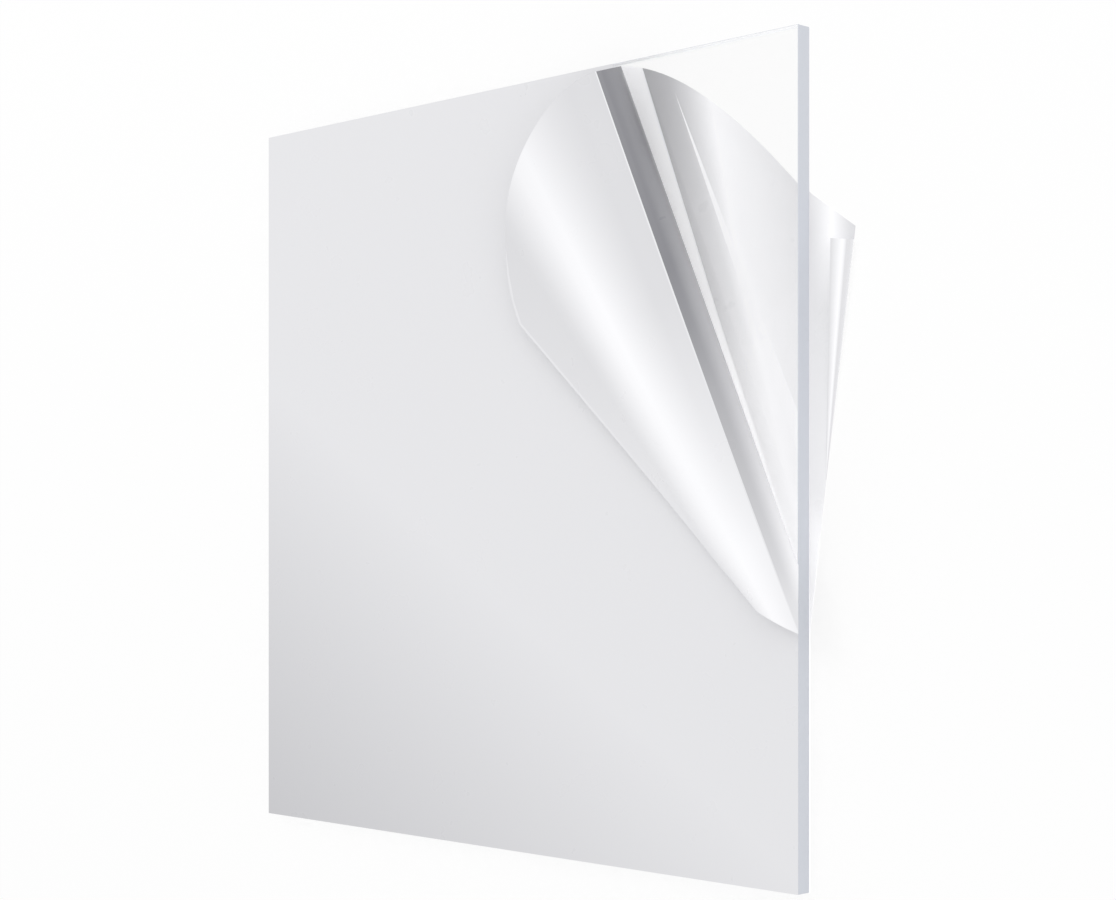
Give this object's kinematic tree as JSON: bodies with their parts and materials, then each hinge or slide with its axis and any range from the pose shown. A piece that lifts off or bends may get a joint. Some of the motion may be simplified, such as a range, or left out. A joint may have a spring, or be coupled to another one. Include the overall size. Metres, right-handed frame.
{
  "type": "clear acrylic sheet",
  "caption": "Square clear acrylic sheet lying flat between two thin protective films, the front one peeled back from a corner and curled.",
  "frame": {"origin": "middle of the sheet's outline, on the underside of the back film", "axes": "+Z out of the sheet's front face, square to the sheet; +X and +Y along its edges, towards the corner where the films are loose"},
  "size_m": [0.3255, 0.3048, 0.0246],
  "materials": {
    "acrylic": "clear cast acrylic with polished faces and a faint blue-grey edge",
    "masking_film": "thin silvery translucent polyethylene film"
  },
  "bodies": {
    "root": {"acrylic_sheet": "acrylic", "front_masking_film": "masking_film", "back_masking_film": "masking_film"}
  },
  "joints": []
}
